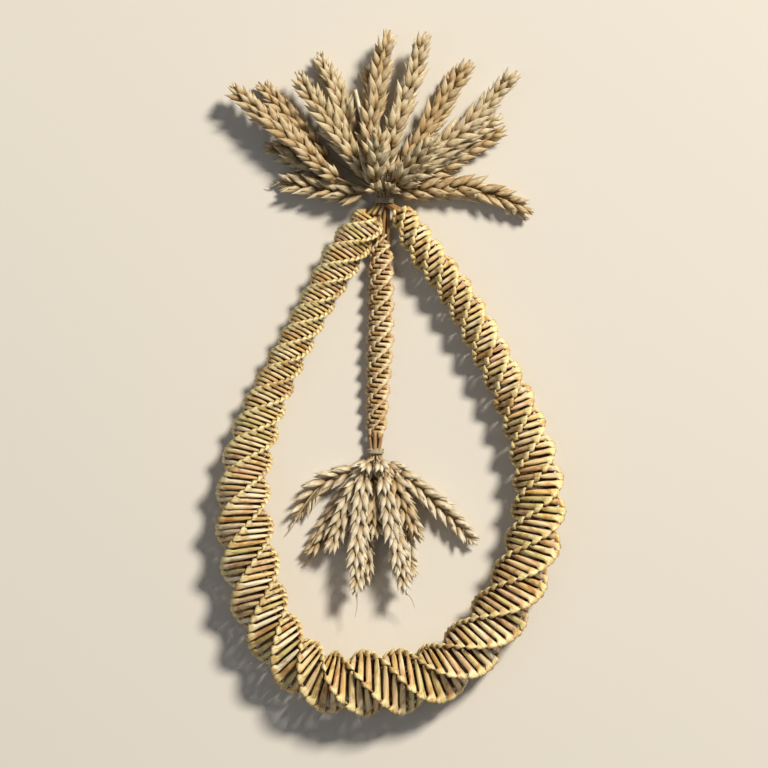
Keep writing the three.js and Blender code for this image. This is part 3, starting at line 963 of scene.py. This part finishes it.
# %% The spray
SPRAY_PLUMP = 1.12
LOW_EARS = [
    {"cell": [2, 180], "foot": [-7.3, -7.5, 5.5], "tip": [-41, -35, 4.3], "bow": -5,
     "roll": 88, "awn": [-45.2, -42.3]},
    {"cell": [1, 180], "foot": [-9, -14, 4.6], "tip": [-33.4, -54, 4.3], "bow": 0,
     "roll": 35, "awn": [-37, -57.8]},
    {"cell": [2, 150], "foot": [-11, -17, 10.4], "tip": [-24, -52, 10], "bow": 0},
    {"cell": [1, 120], "foot": [-4.5, -6, 12], "tip": [-9.5, -72.5, 15], "bow": -1.5,
     "tone": 0.5, "first": 0.59, "awn": [-10.2, -82.8]},
    {"cell": [1, 240], "foot": [-4, -15, 4], "tip": [-4.8, -67.5, 4], "bow": 0},
    {"cell": [0, 0], "foot": [-0.8, -7, 7.5], "tip": [0, -45.4, 11], "bow": 0, "first": 0.6},
    {"cell": [1, 60], "foot": [2.4, -6, 13], "tip": [15.6, -71.8, 15.5], "bow": 0,
     "tone": 0.5, "first": 0.59, "awn": [19.8, -78.5]},
    {"cell": [1, 300], "foot": [8, -14, 4.2], "tip": [18.4, -64.5, 4.2], "bow": 0, "roll": 30},
    {"cell": [2, 30], "foot": [8.4, -12, 10], "tip": [22.5, -46, 11.5], "bow": 0},
    {"cell": [2, 0], "foot": [6.4, -6, 6.5], "tip": [51, -47.2, 4.5], "bow": 1.5, "roll": 86},
]
for index, ear in enumerate(LOW_EARS):
    wheat_ear(number("pendant_ear", index), LOW_TIE, ear, -1, 200 + index, spray_husk, SPRAY_PLUMP)
print("ears in the spray:", len(LOW_EARS))

# %% [markdown]
# ## The cut straw
# One straw in the fan has lost its ear and ends in a plain cut. It runs through the tie with the
# other stalks, and it is thicker than they are, as a straw is further down its stem.

# %% The cut straw
CUT_STRAW = {"cell": [1, 120], "foot": [-5, 17, 14.5], "tip": [-14.5, 55, 17], "bow": 0}
cut_rings = bend_tube(stalk_points(TOP_TIE, CUT_STRAW, 1), 0.95, steps=30)
cut_straw = make_piece("cut_straw", [tube(cut_rings, 0.4, 0.0)], loop_straw)
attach(cut_straw, "root")
print("cut straw, rings:", len(cut_rings))

# %% [markdown]
# ## The ties
# Each tie is one length of two-ply linen thread, wound round the bundle and pulled tight. It could
# be two tubes twisted together, but one tube does it: two plies make a section with two lobes,
# which turns as the thread runs.

# %% Wound thread
TURN_STEPS = 40  # rings in one turn round the bundle
PLY_TURN_MM = 1.2  # length of half a turn of the two plies
PITCH = 0.94  # turns lie this close, as a part of the thread's width
THREAD_SIDES = 12
LOBE_MIDDLE = 0.84  # the section's middle radius, as a part of half the thread's width
LOBE_SWELL = 0.2  # how far the two plies stand out of it


def thread_tie(name, tie, node):
    """A wound thread as one piece."""
    steps = TURN_STEPS * tie["turns"]
    angle = np.linspace(0, 2 * math.pi * tie["turns"], steps)
    reach = tie["inner"] + tie["thread"] / 2
    drift = (angle / (2 * math.pi) - tie["turns"] / 2) * tie["thread"] * PITCH
    out = np.stack([np.cos(angle), 0 * angle, np.sin(angle)], -1)
    ahead = np.array([0, 1.0, 0])
    points = np.array([tie["x"], tie["y"], tie["z"]]) + reach * out + drift[:, None] * ahead
    run = np.concatenate([[0], np.cumsum(np.linalg.norm(np.diff(points, axis=0), axis=1))])
    twist = run * math.pi / PLY_TURN_MM
    around = np.arange(THREAD_SIDES) * 2 * math.pi / THREAD_SIDES
    swell = LOBE_SWELL * np.cos(2 * (around[None] - twist[:, None]))
    lobes = tie["thread"] / 2 * (LOBE_MIDDLE + swell)
    ring = out[:, None] * (lobes * np.cos(around))[..., None] + ahead * (lobes * np.sin(around))[..., None]
    piece = make_piece(name, [tube(points[:, None] + ring, 0.5, 0.5)], thread_grey)
    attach(piece, "root")
    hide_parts(node)
    print(name, "length, mm:", round(run[-1]))


thread_tie("top_tie_thread", TOP_TIE, "top_tie")
thread_tie("pendant_tie_thread", LOW_TIE, "pendant_tie")

# %% [markdown]
# ## Floor and light
# The ornament lies on a plain pale floor. One soft lamp stands to the upper right, as a window
# would, and gives the folds their shadows. A broad weak lamp on the left and a weak sky keep those
# shadows open.

# %% Floor
FLOOR_REACH = 1.5  # metres from the middle to each side


def stage_floor():
    """A flat sheet of pale paper, staged and so not part of the ornament."""
    mesh = bpy.data.meshes.new("floor")
    corners = [(x * FLOOR_REACH, y * FLOOR_REACH, 0) for x, y in ((-1, -1), (1, -1), (1, 1), (-1, 1))]
    mesh.from_pydata(corners, [], [(0, 1, 2, 3)])
    material, tree, surface = new_material("matte_paper", Roughness=0.9)
    surface.inputs["Base Color"].default_value = linear("d9d5cc")
    mesh.materials.append(material)
    floor = bpy.data.objects.new("floor", mesh)
    bpy.context.scene.collection.objects.link(floor)
    floor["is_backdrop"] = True


stage_floor()
print("floor, metres across:", 2 * FLOOR_REACH)


# %% Light
def lamp(name, place, size, power, tint):
    """A round soft lamp in metres and watts, aimed at the middle of the frame."""
    data = bpy.data.lights.new(name, "AREA")
    data.shape, data.size, data.energy, data.color = "DISK", size, power, linear(tint)[:3]
    item = bpy.data.objects.new(name, data)
    item.location = place
    item.rotation_euler = (-Vector(place)).to_track_quat("-Z", "Y").to_euler()
    bpy.context.scene.collection.objects.link(item)


SKY_STRENGTH = 0.15
lamp("key", (1.9, 2.1, 2.9), 0.8, 225, "fff6e8")
lamp("fill", (-1.8, -0.6, 2.8), 2.4, 8, "eef3ff")
world = bpy.data.worlds.new("sky")
world.use_nodes = True
background = world.node_tree.nodes["Background"]
background.inputs["Color"].default_value = linear("f4f6fa")
background.inputs["Strength"].default_value = SKY_STRENGTH
bpy.context.scene.world = world
bpy.context.scene.view_settings.view_transform = "Standard"
print("lamps:", [light.name for light in bpy.data.lights])

# %% [markdown]
# ## Camera
# The camera looks straight down. A long lens from far off keeps the ornament's outline true. Its
# focal length follows from how wide the view has to be at the level of the plait.

# %% Camera
FRAME_WIDTH = 0.384  # metres across the view at the ornament
CAMERA_HEIGHT = 2.5
LENS_LEVEL = 0.012  # the level at which the frame has that width
CENTRE = to_frame([0, -92, 0])
camera_data = bpy.data.cameras.new("camera")
camera_data.sensor_width = 36
camera_data.lens = camera_data.sensor_width * (CAMERA_HEIGHT - LENS_LEVEL) / FRAME_WIDTH
camera = bpy.data.objects.new("camera", camera_data)
camera.location = (CENTRE[0], CENTRE[1], CAMERA_HEIGHT)
bpy.context.scene.collection.objects.link(camera)
bpy.context.scene.camera = camera
print("focal length, mm:", round(camera_data.lens))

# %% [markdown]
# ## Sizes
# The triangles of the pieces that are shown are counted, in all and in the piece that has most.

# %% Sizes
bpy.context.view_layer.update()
triangles = {o.name: sum(len(p.vertices) - 2 for p in o.data.polygons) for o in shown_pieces()}
print("triangles in all", sum(triangles.values()), "most in one piece", max(triangles.values()))
